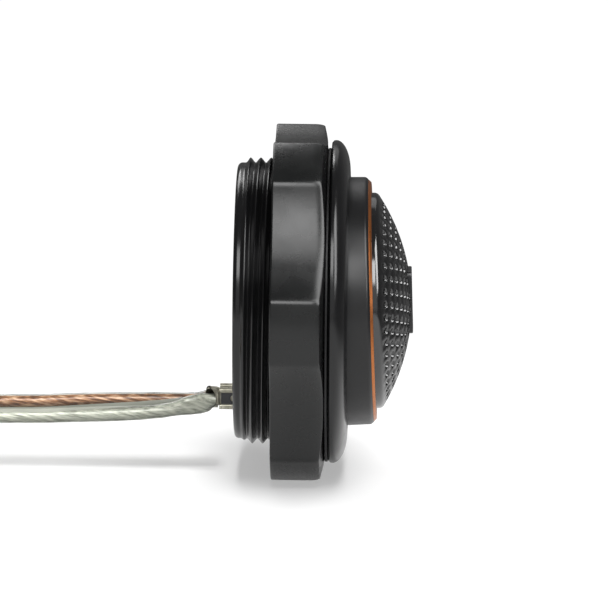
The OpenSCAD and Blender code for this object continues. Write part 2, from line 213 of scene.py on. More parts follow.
# Places round one sheath, in degrees: the web's edges are the first and last, the rest are round
LOBE_DEGREES = np.r_[-80, np.linspace(-43, 223, 15), 260]
WEB_COLUMNS = (0, len(LOBE_DEGREES) - 2, len(LOBE_DEGREES) - 1)


def twin_sheath(squash):
    """Two round sheaths with a web between them; the tinned one is squashed toward its crimp."""
    upper, lower = lobe(LOBE_DEGREES, 1 + 0 * squash), lobe(LOBE_DEGREES + 180, squash)
    return np.concatenate([upper + (WIRE_GAP / 2, 0), lower - (WIRE_GAP / 2, 0)], 1)


def strands(path, radius, squash=1, lay=32, count=14, groove=0.04):
    """Sections of a bundle of strands that turns once for each lay, with grooves between them."""
    along = np.r_[0, np.cumsum(np.linalg.norm(np.diff(path, axis=0), axis=1))][:, None]
    a = np.linspace(0, 2 * np.pi, 4 * count, endpoint=False)
    r = radius * (1 - groove + groove * np.abs(np.cos(count / 2 * a)))
    a = a + 2 * np.pi * along / lay
    k = np.broadcast_to(squash, len(path))[:, None]
    return np.stack([r * np.sin(a) / np.sqrt(k), r * np.cos(a) * k], -1)


BLADE_Y, BLADE_Z, CRIMP_END = 1.8, -16.3, -20
CORE_X, BEND_X, CORE_DROP = -18.5, -19.2, 0.35
SQUASH, SQUASH_X, SQUASH_RISE, SQUASH_FALL = 0.42, -27, 4.5, 1.6


def squashed(path):
    """How much taller than round the tinned conductor is, between its straight run and its crimp."""
    x = path[:, 0]
    return 1 + SQUASH * smooth((x - SQUASH_X) / SQUASH_RISE) * smooth((BEND_X - x) / SQUASH_FALL)


def conductor_end(side, rings=14):
    """The bend of one conductor from its crimp to where the twin lead splits."""
    a = np.array([CORE_X, side * BLADE_Y, BLADE_Z - CORE_DROP])
    b = np.array([BEND_X, a[1], a[2]])
    c = path[0] + side * WIRE_GAP / 2 * major[0]
    s = np.linspace(0, 1, rings)[:, None]
    bend = b + (c - b) * np.hstack([s, smooth(s), smooth(s)])
    return np.vstack([[a], bend])


route = lead_route()
path, twist = route[:, :3], route[:, 3]
major, _ = across(path, twist)
CORE_SQUASH = 1.7
CORES = ((-1, "lead_tinned", 0.78), (1, "lead_copper", 0.64))
ROUND_DEGREES = np.arange(0, 360, 12)
lead = swept("lead_sheath", path, twist, twin_sheath(squashed(path)), "housing", (False, True))
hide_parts("lead", "lead_coil")

cores, tails = [], []
for i, (side, name, radius) in enumerate(CORES, 1):
    tail = conductor_end(side)
    whole = np.vstack([tail[:-1], path + side * WIRE_GAP / 2 * major])
    turned = np.r_[np.full(len(tail) - 1, twist[0]), twist]
    squash = squashed(whole) if side < 0 else np.ones(len(whole))
    cores.append(swept(name, whole, turned, strands(whole, radius, squash**CORE_SQUASH), "housing"))
    cover = lobe(ROUND_DEGREES, squash[:len(tail)])
    tail_sheath = swept(f"tail_sheath_{i}", tail, turned[:len(tail)], cover, "housing", (True, False))
    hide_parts(f"lead_tail_{i}")
    tails.append(tail_sheath)
tinned_core, copper_core = cores


def linear(colour):
    """A hex colour as the linear numbers that shaders take."""
    c = [int(colour[i:i + 2], 16) / 255 for i in (1, 3, 5)]
    return [x / 12.92 if x <= 0.04045 else ((x + 0.055) / 1.055) ** 2.4 for x in c] + [1]


def feed(m, node, *by_order, **by_name):
    """Sets a node's settings and sockets, with _ for a space, and links a socket given an output."""
    for key, value in [*by_name.items(), *enumerate(by_order)]:
        if isinstance(key, str) and hasattr(node, key):
            setattr(node, key, value)
            continue
        socket = node.inputs[key.replace("_", " ") if isinstance(key, str) else key]
        if isinstance(value, bpy.types.NodeSocket):
            m.node_tree.links.new(value, socket)
        else:
            socket.default_value = value


def add(m, kind, *by_order, stops=(), **by_name):
    """Adds a shader node, with colours or greys as the stops of its ramp, and gives its outputs."""
    node = m.node_tree.nodes.new("ShaderNode" + kind)
    feed(m, node, *by_order, **by_name)
    for i, (at, colour) in enumerate(stops):
        e = node.color_ramp.elements[i] if i < 2 else node.color_ramp.elements.new(at)
        e.position = at
        e.color = linear(colour) if isinstance(colour, str) else (colour, colour, colour, 1)
    return node.outputs


def new_material(name, **values):
    """A material with its main shader, and the place in metres that patterns are measured from."""
    m = bpy.data.materials.new(name)
    m.use_nodes = True
    shader = m.node_tree.nodes["Principled BSDF"]
    feed(m, shader, **values)
    return m, shader, add(m, "TexCoord")["Object"]


def clouded(name, tint, polish, relief, **values):
    """A surface whose colour and polish each drift between two values, in patches of a size in
    millimetres and a detail, over a grain of a size, a depth and a strength."""
    m, shader, place = new_material(name, **values)
    for socket, (size_mm, detail, low, high) in (("Base_Color", tint), ("Roughness", polish)):
        patches = add(m, "TexNoise", Vector=place, Scale=1 / (size_mm * MM), Detail=detail)["Fac"]
        drift = add(m, "ValToRGB", Fac=patches, stops=[(0.3, low), (0.7, high)])["Color"]
        feed(m, shader, **{socket: drift})
    size_mm, depth_mm, strength = relief
    grain = add(m, "TexNoise", Vector=place, Scale=1 / (size_mm * MM), Detail=2)["Fac"]
    bumps = add(m, "Bump", Height=grain, Distance=depth_mm * MM, Strength=strength)["Normal"]
    feed(m, shader, Normal=bumps)
    return m


def moulded(name, light, dark, roughness, grain_mm=0.35, depth_mm=0.006, ior=1.5):
    """Moulded plastic, slightly clouded. Its even grain is drawn coarser than life, so that it shows."""
    polish = (4, 5, roughness - 0.04, roughness + 0.05)
    return clouded(name, (9, 3, dark, light), polish, (grain_mm, depth_mm, 0.6), IOR=ior)


def stranded(name, light, middle, dark, roughness, lay_degrees=12):
    """Fine drawn wire in thin lines along its lay: painted highlights of its strands over their own
    uneven tone.
    """
    m, shader, place = new_material(name, Metallic=0.5, Roughness=roughness)
    turn = (0, math.radians(lay_degrees), 0)
    lay = add(m, "Mapping", vector_type="TEXTURE", Vector=place, Rotation=turn)["Vector"]
    streaks = add(m, "Mapping", Vector=lay, Scale=(0.12, 1, 1))["Vector"]
    # Thin lines along the lay: pale ones are painted highlights, dark ones the strands' own tone
    glint_and_tone_wisps = add(m, "TexNoise", Vector=streaks, Scale=1 / (0.4 * MM), Detail=5)["Fac"]
    fibres = add(m, "Mapping", Vector=lay, Scale=(0.1, 1, 1))["Vector"]
    ridges = add(m, "TexNoise", Vector=fibres, Scale=1 / (0.16 * MM), Detail=2)["Fac"]
    stops = [(0.36, dark), (0.66, light), (0.5, middle)]
    feed(
        m, shader,
        Base_Color=add(m, "ValToRGB", Fac=glint_and_tone_wisps, stops=stops)["Color"],
        Normal=add(m, "Bump", Height=ridges, Distance=0.06 * MM, Strength=0.6)["Normal"],
    )
    return m


def put(material, *pieces):
    """Gives pieces this one material."""
    for p in pieces:
        p.data.materials.clear()
        p.data.materials.append(material)


# Clear soft vinyl, glassy along its middle and faintly ridged along it; its colour is painted greyer
# toward its edges, where its surface turns from view, a painted shade over a faint haze of its own
sheath, shader, place = new_material("clear_sheath", Roughness=0.05, IOR=1.5, Transmission_Weight=1.0)
grazing = add(sheath, "LayerWeight", Blend=0.5)["Facing"]
patches = add(sheath, "TexNoise", Vector=place, Scale=1 / (6 * MM), Detail=3)["Fac"]
faint = add(sheath, "Math", patches, 0.1, operation="MULTIPLY")["Value"]
edge_shade_and_haze = add(sheath, "Math", grazing, faint, operation="ADD")["Value"]
drawn = add(sheath, "Mapping", Vector=place, Scale=(0.3, 1, 1))["Vector"]
ridges = add(sheath, "TexNoise", Vector=drawn, Scale=1 / (1.5 * MM), Detail=2)["Fac"]
feed(
    sheath, shader,
    Base_Color=add(sheath, "ValToRGB", Fac=edge_shade_and_haze, stops=[(0.25, "#eceee8"), (0.5, "#adb1ab")])["Color"],
    Normal=add(sheath, "Bump", Height=ridges, Distance=0.02 * MM, Strength=0.4)["Normal"],
)
put(sheath, lead, *tails)

# The web between the conductors has no wire behind it. It is drawn opaque and pale grey, a painted shade
# for the groove between them
lead.data.materials.append(moulded("groove_shade_web", "#b9bbb1", "#a9aba1", 0.35))
for face in lead.data.polygons:
    face.material_index = int(face.index % len(LOBE_DEGREES) in WEB_COLUMNS)

# Bare copper is a warm brown and tinned copper a dull silver, each with pale lines along the lay that
# are painted highlights
copper = stranded("copper_strands", "#d2ae90", "#936747", "#5f3f2a", 0.55)
tinned = stranded("tinned_strands", "#dadbd0", "#bdbfb4", "#95978b", 0.55)
put(copper, copper_core)
put(tinned, tinned_core)


# Lead's far end. Both conductors are stripped by hand, and their strands lie bare and cut square, a
# little spread apart. A tie of black plastic holds the coil, and keeps its solid.
BARE_L, BARE_R, BARE_RINGS, SPREAD, TIP_L, TIP_TAPER = 8, 0.6, 17, 0.02, 0.6, 0.8
last_way = headings(path)[-1]
for i, (at, material) in enumerate(((-WIRE_GAP / 2, tinned), (WIRE_GAP / 2, copper)), 1):
    start = path[-1] + (0, 0, at)
    s = np.linspace(0, BARE_L, BARE_RINGS)
    apart = np.stack([0 * s, 0 * s, at * SPREAD * s], 1)
    end_path = start + s[:, None] * last_way + apart
    taper = np.where(s > BARE_L - TIP_L, TIP_TAPER, 1)[:, None, None]
    bundle = strands(end_path, BARE_R) * taper
    piece = swept(f"bare_strands_{i}", end_path, np.full(BARE_RINGS, 90.0), bundle, "housing")
    put(material, piece)
    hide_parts(f"bare_end_{i}")

# Moulded nylon, a soft black sheen
put(moulded("tie_plastic", "#1c1c1d", "#141415", 0.45), nodes["coil_tie"])


# Mounting cup. Satin black moulded plastic: a bull-nosed flange and a barrel with a single-start
# right-hand thread, whose sharp crests run out on a plain band at the rear.
THREAD_R, ROOT_R, PITCH, SHARPNESS = 23.75, 22.9, 1.72, 0.9
THREAD_FROM, THREAD_TO, TOP_CREST, RUN_IN, RUN_OUT = -14.6, -0.9, -13.6, 1.1, 0.6
BARREL_L, BORE_R, LIP_R, FLANGE_R, FLANGE_H = 15.6, 22.03, 21.25, 26.8, 3.06
NECK_L, NECK_ROUND, BORE_ROUND, BAND_ROUND = 0.3, 0.15, 0.2, 0.75
HEEL_IN, HEEL_OUT, HEEL_X, HEEL_ROUND = 0.4, 0.05, 0.3, 0.1
CROWN_R, CROWN_X, LIP_X, LIP_ROUND = 21.8, 0.65, 2.05, 0.55
SEGMENTS = 288


def arc(c, r, start, end, n):
    """Points on part of an ellipse, between two angles."""
    a = np.radians(np.linspace(start, end, n + 1))
    return np.stack([c[0] + r[0] * np.cos(a), c[1] + r[1] * np.sin(a)], 1)


def rounded(corners, n=4):
    """A profile from corners of radius, place along the axis, and rounding."""
    out = []
    for i, (r, x, size) in enumerate(corners):
        p = np.array([r, x], float)
        if not size:
            out.append(p)
            continue
        before = np.array(corners[i - 1][:2], float) - p
        after = np.array(corners[(i + 1) % len(corners)][:2], float) - p
        a, b = before / np.linalg.norm(before), after / np.linalg.norm(after)
        half = math.acos(np.clip(a @ b, -1, 1)) / 2
        reach = size / math.tan(half)
        centre = p + (a + b) / np.linalg.norm(a + b) * size / math.sin(half)
        start, end = p + a * reach - centre, p + b * reach - centre
        for t in np.linspace(0, 1, n + 1):
            d = start + (end - start) * t
            out.append(centre + d / np.linalg.norm(d) * size)
    return np.array(out)


def lathe_points(profile, segments=SEGMENTS):
    """A profile turned about X, as rings of points."""
    a = np.arange(segments) * 2 * np.pi / segments
    r, x = profile[:, :1], profile[:, 1:]
    return np.stack([x + 0 * a, -r * np.sin(a), r * np.cos(a)], -1).reshape(-1, 3)


def lathe(name, profile, body):
    """A turned piece about X, from a closed profile of radius and place along X."""
    profile = np.vstack([profile, profile[:1]])
    return new_piece(name, lathe_points(profile), grid_faces(len(profile), SEGMENTS), body)


def thread(start, end, top_crest, segments=SEGMENTS, per=20):
    """Rows along the helix, with a crest at this place on top, pressed flat past both ends."""
    a = np.arange(segments + 1) * 2 * np.pi / segments
    s = np.arange(start - 2 * PITCH, end + PITCH, PITCH / per)
    s = s - s[0] + top_crest + PITCH * math.floor((s[0] - top_crest) / PITCH)
    x = np.clip(s[:, None] - PITCH * a / (2 * np.pi), start, end)
    wave = np.cos(2 * np.pi * (((s - top_crest) / PITCH) % 1))
    ridge = (0.5 + np.arcsin(SHARPNESS * wave) / (2 * math.asin(SHARPNESS)))[:, None]
    height = ridge * smooth((x - start) / RUN_IN) * smooth((end - x) / RUN_OUT)
    r = ROOT_R + (THREAD_R - ROOT_R) * height
    rows = np.stack([x, -r * np.sin(a), r * np.cos(a)], -1)
    return rows.reshape(-1, 3), grid_faces(len(s), segments + 1, wrap=False)


cup_profile = np.vstack([
    [[ROOT_R, THREAD_TO], [ROOT_R, -NECK_L]],
    rounded([
        (ROOT_R, -NECK_L, 0), (ROOT_R, 0, NECK_ROUND),
        (FLANGE_R - HEEL_IN, 0, HEEL_ROUND), (FLANGE_R - HEEL_OUT, HEEL_X, 0),
    ])[1:],
    arc((CROWN_R, CROWN_X), (FLANGE_R - CROWN_R, FLANGE_H - CROWN_X), 0, 90, 40),
    arc((CROWN_R, FLANGE_H - LIP_ROUND), (LIP_ROUND, LIP_ROUND), 95, 180, 10),
    [[LIP_R, LIP_X], [BORE_R, LIP_X], [BORE_R, -BARREL_L + BORE_ROUND]],
    arc((BORE_R + BORE_ROUND, BORE_ROUND - BARREL_L), (BORE_ROUND, BORE_ROUND), 180, 270, 3),
    arc((ROOT_R - BAND_ROUND, BAND_ROUND - BARREL_L), (BAND_ROUND, BAND_ROUND), -90, 0, 10),
    [[ROOT_R, THREAD_FROM]],
])
cup_points = lathe_points(cup_profile)
thread_points, thread_faces = thread(THREAD_FROM, THREAD_TO, TOP_CREST)
cup_faces = grid_faces(len(cup_profile), SEGMENTS)
cup_faces += [[i + len(cup_points) for i in f] for f in thread_faces]
cup = new_piece("cup", np.vstack([cup_points, thread_points]), cup_faces, "housing")
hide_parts("mounting_cup")

# Satin ABS from a polished mould: near black, with clean soft-edged highlights on crown and crests
put(moulded("cup_plastic", "#111112", "#0e0e0f", 0.2, 0.3, 0.003), cup)


# Lock nut. A thick lobed ring of satin plastic, moulded with broad scallops to turn it by hand. Its
# front face falls away outward and its edges are softened.
NUT_R, NUT_VALLEY_R, NUT_FRONT, NUT_H, NUT_CONE = 30.1, 26.87, -0.65, 8.78, 0.2
EDGE_DROP, EDGE_ROLL, REAR_ROUND = 0.42, 1.65, 0.3
EDGE_EASE = np.array([(-0.06, 0.03), (-0.2, 0.05)])
LOBES, LOBE_ANGLE = 6, 20
NUT_BORE, BORE_CHAMFER, FACE_FLAT, NUT_SHARP = THREAD_R + 0.1, 0.5, 1.6, 50


def nut_outline(n=1440, soften=8):
    """Radius over the angle from the top: round lobes with scallops between, the corners just broken."""
    half = math.radians(180 / LOBES - LOBE_ANGLE / 2)
    chord, rise = NUT_R * math.sin(half), NUT_R * math.cos(half) - NUT_VALLEY_R
    cut_r = (chord**2 + rise**2) / (2 * rise)
    centre = NUT_VALLEY_R + cut_r
    a = np.arange(n) * 2 * np.pi / n
    off = (a + np.pi / LOBES) % (2 * np.pi / LOBES) - np.pi / LOBES
    under = centre * np.cos(off) - np.sqrt(np.maximum(cut_r**2 - (centre * np.sin(off)) ** 2, 0))
    r = np.where(np.abs(off) < half, np.minimum(under, NUT_R), NUT_R)
    kernel = np.hanning(2 * soften + 1)
    return a, np.convolve(np.r_[r[-soften:], r, r[:soften]], kernel / kernel.sum(), "valid")


def nut_profile(r):
    """The nut's section where its outside is at r: its front edge rolls over gently, then falls away."""
    rear, front = NUT_FRONT - NUT_H, NUT_FRONT - NUT_CONE * (r - NUT_VALLEY_R)
    roll = arc((r - EDGE_DROP, front - EDGE_ROLL), (EDGE_DROP, EDGE_ROLL), 0, 75, 10)
    return np.vstack([
        [[NUT_BORE, rear + BORE_CHAMFER], [NUT_BORE + BORE_CHAMFER, rear]],
        arc((r - REAR_ROUND, rear + REAR_ROUND), (REAR_ROUND, REAR_ROUND), -90, 0, 5),
        roll,
        roll[-1] + EDGE_EASE,
        [[min(NUT_VALLEY_R, r) - FACE_FLAT, NUT_FRONT]],
        [[NUT_BORE + BORE_CHAMFER, NUT_FRONT], [NUT_BORE, NUT_FRONT - BORE_CHAMFER]],
    ])


angles, radii = nut_outline()
sections = np.stack([nut_profile(r) for r in radii])
sections = np.concatenate([sections, sections[:, :1]], 1)
r, x, turn = sections[..., 0], sections[..., 1], angles[:, None]
nut_points = np.stack([x, -r * np.sin(turn), r * np.cos(turn)], -1)
ring = np.concatenate([nut_points, nut_points[:1]])
nut_faces = grid_faces(len(ring), ring.shape[1], wrap=False)
nut = new_piece("nut", ring.reshape(-1, 3), nut_faces, "nut", NUT_SHARP)
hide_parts("lock_nut")

# Satin ABS, a little duller than the cup: the lobes shade off softly from their lit shoulders
put(moulded("nut_plastic", "#121313", "#0f1010", 0.27, 0.4, 0.003), nut)


# Clamp washer. A thin loose ring of matt black plastic that lets the nut turn without marking the
# panel; it hangs on the thread, so its outline sits a little low.
WASHER_BORE, WASHER_R, WASHER_REAR, WASHER_FRONT, HANG_GAP = 24.35, 26.05, -0.6, -0.1, 0.02
washer = lathe("washer", rounded([
    (WASHER_BORE, WASHER_REAR, 0.1), (WASHER_R, WASHER_REAR, 0.15),
    (WASHER_R, WASHER_FRONT, 0.15), (WASHER_BORE, WASHER_FRONT, 0.1),
]), "clamp")
washer.location.z = (THREAD_R - WASHER_BORE + HANG_GAP) * MM
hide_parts("clamp_washer")

# Moulded nylon: matt, so that it stays dark between the gloss of its neighbours
put(moulded("washer_plastic", "#161617", "#101011", 0.5), washer)


# Head. A drafted bezel of satin plastic with a chamfered front edge. An orange ring is set in the
# chamfer. The whole head stands tilted a little nose-up in the cup.
HEAD_TILT, BEZEL_DRAFT = math.radians(2.05), math.radians(2.1)
BEZEL_R, BALL_R, BEZEL_REAR, BEZEL_SIDE, ACCENT_REAR, HEAD_FRONT = 20.65, 20.76, 2.45, 6.37, 6.78, 7.25
SHELF_R, SHELF_REAR, POCKET_R = 16, 4.4, 19.3
GRILLE_R, RIM_SEAT, SEAT_GAP = 17.9, 5.6, 0.05


def tilt(piece):
    """Turns a piece made along X into the head's pose."""
    piece.data.transform(Matrix.Rotation(-HEAD_TILT, 4, "Y"))
    return piece


side_r = BEZEL_R - (BEZEL_SIDE - FLANGE_H) * math.tan(BEZEL_DRAFT)
rear_r = math.sqrt(BALL_R**2 - BEZEL_REAR**2)
step_r = side_r - (ACCENT_REAR - BEZEL_SIDE)
front_r = side_r - (HEAD_FRONT - BEZEL_SIDE)
seat_r = GRILLE_R + SEAT_GAP
bezel = tilt(lathe("bezel_trim", rounded([
    (rear_r, BEZEL_REAR, 0), (side_r, BEZEL_SIDE, 0.7), (step_r, ACCENT_REAR, 0.03),
    (seat_r, ACCENT_REAR, 0), (seat_r, RIM_SEAT, 0), (SHELF_R, RIM_SEAT, 0.1),
    (SHELF_R, SHELF_REAR, 0), (POCKET_R, SHELF_REAR, 0), (POCKET_R, BEZEL_REAR, 0),
]), "head"))
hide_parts("bezel")

# Satin ABS with a fine grain: a broad, dim highlight along the top
put(moulded("bezel_plastic", "#121213", "#0f0f10", 0.34), bezel)

accent = tilt(lathe("accent_trim", rounded([
    (seat_r, ACCENT_REAR, 0), (step_r, ACCENT_REAR, 0.03),
    (front_r, HEAD_FRONT, 0.12), (seat_r, HEAD_FRONT, 0.08),
]), "head"))
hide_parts("accent_ring")

# Sprayed metallic lacquer: it mirrors the dim room above and the pale floor below as bands of orange
bronze = clouded(
    "bronze_lacquer", (3, 3, "#b56c3b", "#c17746"), (0.6, 4, 0.26, 0.36), (0.25, 0.003, 0.5),
    Metallic=0.9,
)
put(bronze, accent)


# Grille. A thin dome perforated in rings, six holes more in each, that all start on one line, and
# painted gloss black. The holes taper inward, so their walls catch the light as bright dots.
DOME_R, DOME_FRONT, GRILLE_T, SHOULDER, GRILLE_SHARP = 33, 13.49, 0.8, 1.0, 40
HOLE_R, HOLE_INNER_R, HOLE_DEPTH, HOLE_LIP, HOLE_SLACK = 0.66, 0.34, 0.5, 0.06, 0.02
HOLE_PITCH, HOLE_RINGS, HOLE_START, HOLE_SIDES, RIM_SEGMENTS = 2.1, 8, 75, 24, 144
BADGE_H, BADGE_W, BADGE_CORNER, BADGE_CLEAR = 10.5, 6.5, 1.0, 0.7
dome_c = DOME_FRONT - DOME_R
lean_at = math.asin((GRILLE_R - SHOULDER) / (DOME_R - SHOULDER))


def on_dome(u, v, depth):
    """A point of the dome from its place on the unrolled sheet, across and up, and its depth."""
    away = np.hypot(u, v)
    lean = away / DOME_R
    k = np.where(away > 0, np.sin(lean) / np.maximum(away, 1e-9), 1 / DOME_R)
    r = DOME_R - depth
    return np.stack([dome_c + r * np.cos(lean), r * k * u, r * k * v], -1)


def hole_centres():
    """Places of the holes on the unrolled sheet, ring by ring, apart from those under the badge."""
    for k in range(1, HOLE_RINGS + 1):
        count, away = 6 * k - 1, k * HOLE_PITCH
        out = DOME_R * math.sin(away / DOME_R)
        for i in range(count):
            turn = math.radians(HOLE_START + 360 * i / count)
            high, wide = abs(out * math.cos(turn)), abs(out * math.sin(turn))
            if high > BADGE_H / 2 + BADGE_CLEAR or wide > BADGE_W / 2 + BADGE_CLEAR:
                yield -away * math.sin(turn), away * math.cos(turn)


def perforated_dome():
    """The sheet between its holes, and a rolled edge and wall in each hole."""
    edge_away, open_r = DOME_R * lean_at, HOLE_R + HOLE_LIP
    rim_a = np.arange(RIM_SEGMENTS) * 2 * np.pi / RIM_SEGMENTS
    hole_a = np.arange(HOLE_SIDES) * 2 * np.pi / HOLE_SIDES
    round_hole = np.stack([np.cos(hole_a), np.sin(hole_a)], 1)
    holes = np.array(list(hole_centres()))
    loops = [edge_away * np.stack([np.sin(rim_a), np.cos(rim_a)], 1)]
    loops += [c + open_r * round_hole for c in holes]
    edges, at = [], 0
    for loop in loops:
        edges += [(at + i, at + (i + 1) % len(loop)) for i in range(len(loop))]
        at += len(loop)
    flat = [Vector(p) for loop in loops for p in loop]
    points, _, faces, *_ = delaunay_2d_cdt(flat, edges, [], 0, 1e-6)
    uv = np.array([tuple(p) for p in points])
    keep = []
    for f in faces:
        middle = uv[list(f)].mean(0)
        outside_holes = (np.hypot(*(holes - middle).T) > open_r - HOLE_SLACK).all()
        if outside_holes and np.hypot(*middle) < edge_away:
            keep.append(list(f))
    lip = np.radians((0, 35, 70))
    wall = [(HOLE_R + HOLE_LIP * (1 - math.sin(t)), HOLE_LIP * (1 - math.cos(t))) for t in lip]
    wall += [(HOLE_INNER_R, HOLE_DEPTH), (HOLE_INNER_R, GRILLE_T)]
    xyz, at = [on_dome(*uv.T, 0.0)], len(uv)
    for c in holes:
        xyz += [on_dome(*(c + r * round_hole).T, depth) for r, depth in wall]
        keep += [[i + at for i in f] for f in grid_faces(len(wall), HOLE_SIDES)]
        at += len(wall) * HOLE_SIDES
    return np.vstack(xyz), keep


dome_points, dome_faces = perforated_dome()
shoulder_c = (GRILLE_R - SHOULDER, dome_c + (DOME_R - SHOULDER) * math.cos(lean_at))
inner_r = DOME_R - GRILLE_T
skirt_r = GRILLE_R - GRILLE_T
rim_profile = np.vstack([
    arc(shoulder_c, (SHOULDER, SHOULDER), 90 - math.degrees(lean_at), 0, 10),
    [[GRILLE_R, RIM_SEAT], [skirt_r, RIM_SEAT], [skirt_r, dome_c + math.sqrt(inner_r**2 - skirt_r**2)]],
])
grille_points = np.vstack([dome_points, lathe_points(rim_profile, RIM_SEGMENTS)])
rim_faces = grid_faces(len(rim_profile), RIM_SEGMENTS)
grille_faces = dome_faces + [[i + len(dome_points) for i in f] for f in rim_faces]
grille = tilt(new_piece("grille_sheet", grille_points, grille_faces, "head", GRILLE_SHARP))
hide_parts("grille")

# Gloss enamel, sprayed thick: deep black with a bright mirror of the lamps along the rolled rim
put(moulded("grille_paint", "#0c0c0d", "#09090a", 0.14, 0.6, 0.002, 1.9), grille)


# Badge. A plain plate of satin plastic, moulded with rounded corners and a soft edge and let into
# the middle of the grille. Its face is bare.
BADGE_SEAT, BADGE_FACE, LEAST_CORNER = 12.2, DOME_FRONT + 0.11, 0.2
# How far the outline is drawn in, and its place along the axis, from the seat to the face
BADGE_LEVELS = [
    (0.0, BADGE_SEAT), (0.0, DOME_FRONT - 0.04), (0.04, DOME_FRONT + 0.06),
    (0.15, BADGE_FACE), (0.7, BADGE_FACE),
]


def badge_outline(inset, n=6):
    """The plate's outline across and up, drawn in by an inset."""
    c, w, h = max(BADGE_CORNER - inset, LEAST_CORNER), BADGE_W / 2 - inset, BADGE_H / 2 - inset
    corners = [(1, 1, 0), (-1, 1, 90), (-1, -1, 180), (1, -1, 270)]
    return np.vstack([arc((u * (w - c), v * (h - c)), (c, c), a, a + 90, n) for u, v, a in corners])


rings = [np.insert(badge_outline(inset), 0, x, axis=1) for inset, x in BADGE_LEVELS]
n = len(rings[0])
face_from = n * (len(rings) - 1)
badge_faces = grid_faces(len(rings), n) + [list(range(n)), list(range(face_from, face_from + n))]
badge = tilt(new_piece("badge_plate", np.vstack(rings), badge_faces, "head"))
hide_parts("badge")

# Satin ABS, a shade paler than the grille round it
put(moulded("badge_plastic", "#1d1d1f", "#171718", 0.28), badge)


# Receptacles. Tin-plated sheet, rolled over both edges of the blade, with a crimp on the wire whose
# mouth flares up behind it. The blades are stamped metal and keep their solids.
SHEET_T, CURL_R, CURL_Y, CURL_Z, CURL_TO = 0.3, 0.35, 0.05, 1.35, 250
WRAP_X = (-13.3, -15.8, -18.3)
CRIMP_X, CRIMP_L, CRIMP_SLANT, CRIMP_WALL = -18.2, 1.55, 0.95, 0.22
CRIMP_Z, CRIMP_LEAN, CRIMP_THROAT = BLADE_Z + 0.15, math.radians(80), 0.4
THROAT_Y, THROAT_Z, SWELL_Y, SWELL_Z, FLARE = 0.85, 1.2, 0.4, 0.3, 0.15
TINNED_CRIMP, COPPER_CRIMP = 1, 0.75


def rolled_sheet():
    """The section of the sheet that wraps a blade, open toward its wire's side."""
    upper = arc((CURL_Y, CURL_Z), (CURL_R, CURL_R), 0, CURL_TO, 14)
    middle = np.vstack([upper[::-1] * (1, -1), upper])
    way = np.gradient(middle, axis=0)
    out = np.stack([way[:, 1], -way[:, 0]], 1) / np.linalg.norm(way, axis=1)[:, None] * SHEET_T / 2
    return np.vstack([middle + out, (middle - out)[::-1]])


def crimp_mouth(y, tall, step_degrees=7.5, steps=12):
    """Rings round the wire from the blade to the slanted mouth outside, and back inside."""
    a = np.radians(np.arange(0, 360, step_degrees))
    t = np.linspace(0, 1, steps + 1)[:, None]
    x = CRIMP_X - t * (CRIMP_L + CRIMP_SLANT * np.cos(a - CRIMP_LEAN))
    swell, flare = smooth(t / CRIMP_THROAT), FLARE * t**3
    ry, rz = THROAT_Y + SWELL_Y * swell + flare, tall * (THROAT_Z + SWELL_Z * swell + flare)
    outer, inner = (
        np.stack([x, y + (ry - inset) * np.sin(a), CRIMP_Z + (rz - inset) * np.cos(a)], -1)
        for inset in (0, CRIMP_WALL)
    )
    return np.vstack([outer, inner[::-1], outer[:1]])


# Tin plate off a reel: pale and slightly yellow, with a patchy shine
tin = clouded(
    "tin_plate", (1.2, 4, "#a19e8c", "#d0cdbd"), (0.5, 3, 0.25, 0.45), (0.3, 0.01, 0.5),
    Metallic=0.5,
)
# Inside the crimps the tin is painted dark, a painted shade, so that their mouths read as open
shade, shader, place = new_material("crimp_inside_shade", Metallic=0.6, Roughness=0.5)
patches = add(shade, "TexNoise", Vector=place, Scale=1 / (0.8 * MM), Detail=3)["Fac"]
inside_shade_colour = add(shade, "ValToRGB", Fac=patches, stops=[(0.3, "#2b2a24"), (0.7, "#46443a")])["Color"]
feed(shade, shader, Base_Color=inside_shade_colour)
for i, (side, tall) in enumerate(((-1, TINNED_CRIMP), (1, COPPER_CRIMP)), 1):
    y = side * BLADE_Y
    wrap_path = np.array([(x, y, BLADE_Z) for x in WRAP_X])
    wrap = swept(f"receptacle_wrap_{i}", wrap_path, np.zeros(len(WRAP_X)), rolled_sheet(), "housing")
    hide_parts(f"receptacle_{i}")
    mouth = crimp_mouth(y, tall)
    crimp = new_piece(f"crimp_{i}", mouth.reshape(-1, 3), grid_faces(*mouth.shape[:2]), "housing")
    put(tin, wrap, crimp)
    crimp.data.materials.append(shade)
    # Faces turned in toward the wire take the painted shade
    for face in crimp.data.polygons:
        outward = face.center - Vector((0, y, CRIMP_Z)) * MM
        face.material_index = int(face.normal.y * outward.y + face.normal.z * outward.z < 0)

# The blades: a dark dull grey against the bright receptacles
blades = nodes["terminal_tab_1"], nodes["terminal_tab_2"]
put(moulded("terminal_metal", "#3a3a3d", "#2c2c2f", 0.4), *blades)


# Inside pieces and the rear plate keep their solids: moulded plastic parts, plated steel, felt, a
# coated cloth dome and the voice coil on its foil former.
INNER_PLASTICS = ("rear_plate", "ring_sleeve", "aim_ring", "head_shell", "diaphragm_frame")
STEELS = ("yoke_cup", "pole_plate", "pivot_pin_1", "pivot_pin_2")


def plated(name, light, dark, roughness):
    """Plated metal, slightly clouded, with a faint grain."""
    polish = (0.8, 3, roughness - 0.06, roughness + 0.06)
    return clouded(name, (2.5, 3, dark, light), polish, (0.25, 0.004, 0.5), Metallic=1.0)


